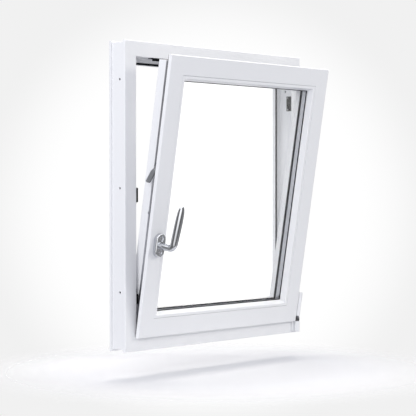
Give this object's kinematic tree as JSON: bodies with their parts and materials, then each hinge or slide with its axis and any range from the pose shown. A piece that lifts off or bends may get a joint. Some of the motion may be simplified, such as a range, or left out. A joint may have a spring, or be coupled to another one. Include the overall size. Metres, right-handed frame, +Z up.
{
  "type": "tilt-and-turn casement window",
  "caption": "White plastic casement window with a double-glazed inward tilting and turning sash, lever handle, locking rods, stay arm and corner hinge.",
  "frame": {"origin": "under the middle of the sill, at mid width of its front foot", "axes": "+Z up along the jambs, +Y to the outside, +X towards the hinge jamb; the room is at -Y"},
  "size_m": [0.835, 0.2435, 0.945],
  "materials": {
    "frame_plastic": "white window profile, satin gloss",
    "sash_plastic": "white window profile, satin gloss",
    "bead_plastic": "white glazing bead, satin gloss",
    "cap_plastic": "white moulded cap",
    "galvanised_steel": "zinc coated tube",
    "hardware_steel": "zinc plated, satin",
    "pin_steel": "dark burnished steel",
    "screw_steel": "zinc plated",
    "striker_metal": "black coated die casting",
    "gasket_rubber": "black weather seal",
    "edge_sealant": "dark insulating glass sealant",
    "spacer_aluminium": "mill finish hollow spacer",
    "glass": "clear float glass",
    "block_plastic": "glazing block",
    "lifter_plastic": "grey ribbed lever",
    "handle_metal": "satin chrome plated"
  },
  "bodies": {
    "frame": {"frame_sill": "frame_plastic", "frame_head": "frame_plastic", "frame_jamb_left": "frame_plastic", "frame_jamb_right": "frame_plastic", "frame_reinforcement": "galvanised_steel", "stop_gasket": "gasket_rubber", "strikers": "striker_metal", "striker_screws": "screw_steel", "tilt_keeper": "striker_metal", "corner_bearing": "hardware_steel", "corner_bearing_cover": "cap_plastic", "corner_post": "pin_steel", "stay_bearing": "hardware_steel", "stay_bearing_cover": "cap_plastic", "stay_pin": "pin_steel", "hinge_screws": "screw_steel", "drain_caps": "cap_plastic"},
    "swivel": {"swivel": "pin_steel", "tilt_pin": "pin_steel"},
    "stay_arm": {"stay_arm": "hardware_steel"},
    "sash": {"sash_rail_bottom": "sash_plastic", "sash_rail_top": "sash_plastic", "sash_stile_left": "sash_plastic", "sash_stile_right": "sash_plastic", "sash_reinforcement": "galvanised_steel", "overlap_gasket": "gasket_rubber", "pane_inner": "glass", "pane_outer": "glass", "edge_seal": "edge_sealant", "spacer_bar": "spacer_aluminium", "glazing_gasket_outer": "gasket_rubber", "glazing_gasket_inner": "gasket_rubber", "setting_blocks": "block_plastic", "bead_bottom": "bead_plastic", "bead_top": "bead_plastic", "bead_left": "bead_plastic", "bead_right": "bead_plastic", "faceplate_left": "hardware_steel", "faceplate_right": "hardware_steel", "faceplate_top": "hardware_steel", "faceplate_bottom": "hardware_steel", "faceplate_screws": "screw_steel", "corner_drives": "hardware_steel", "gearbox": "hardware_steel", "stay_guide": "hardware_steel", "sash_hinge": "hardware_steel", "sash_hinge_cover": "cap_plastic", "lifter_base": "hardware_steel", "handle_rosette": "handle_metal", "rosette_screws": "screw_steel"},
    "handle": {"handle_lever": "handle_metal", "handle_spindle": "pin_steel"},
    "lifter": {"lifter": "lifter_plastic"},
    "drive_rod_left": {"drive_rod_left": "hardware_steel"},
    "drive_rod_top": {"drive_rod_top": "hardware_steel"},
    "drive_rod_right": {"drive_rod_right": "hardware_steel"},
    "drive_rod_bottom": {"drive_rod_bottom": "hardware_steel"}
  },
  "joints": [
    {"name": "turn", "type": "hinge", "parent": "frame", "child": "swivel", "pos_m": [0.388, -0.017, 0.05], "axis": [0, 0, 1], "range_deg": [0, 90]},
    {"name": "tilt", "type": "hinge", "parent": "swivel", "child": "sash", "pos_m": [0.388, -0.017, 0.05], "axis": [1, 0, 0], "range_deg": [-9.6, 0]},
    {"name": "stay", "type": "hinge", "parent": "swivel", "child": "stay_arm", "pos_m": [0.388, -0.017, 0.885], "axis": [0, 0, 1], "range_deg": [-18.77, 0]},
    {"name": "handle", "type": "hinge", "parent": "sash", "child": "handle", "pos_m": [-0.3395, -0.06747, 0.32443], "axis": [0, 0.986, 0.1668], "range_deg": [0, 180]},
    {"name": "lifter", "type": "hinge", "parent": "sash", "child": "lifter", "pos_m": [-0.36, -0.08071, 0.56458], "axis": [0, 0.986, 0.1668], "range_deg": [-29, 0]},
    {"name": "rod_left", "type": "slide", "parent": "sash", "child": "drive_rod_left", "axis": [0, -0.1668, 0.986], "range_m": [0, 0.036]},
    {"name": "rod_top", "type": "slide", "parent": "sash", "child": "drive_rod_top", "axis": [1, 0, 0], "range_m": [0, 0.036]},
    {"name": "rod_right", "type": "slide", "parent": "sash", "child": "drive_rod_right", "axis": [0, 0.1668, -0.986], "range_m": [0, 0.036]},
    {"name": "rod_bottom", "type": "slide", "parent": "sash", "child": "drive_rod_bottom", "axis": [-1, 0, 0], "range_m": [0, 0.036]}
  ],
  "couplings": [
    {"joint": "stay", "follows": "tilt", "ratio": 1.9557},
    {"joint": "lifter", "follows": "tilt", "ratio": 3.0208},
    {"joint": "rod_left", "follows": "handle", "m_per_rad": 0.011459},
    {"joint": "rod_top", "follows": "handle", "m_per_rad": 0.011459},
    {"joint": "rod_right", "follows": "handle", "m_per_rad": 0.011459},
    {"joint": "rod_bottom", "follows": "handle", "m_per_rad": 0.011459}
  ]
}
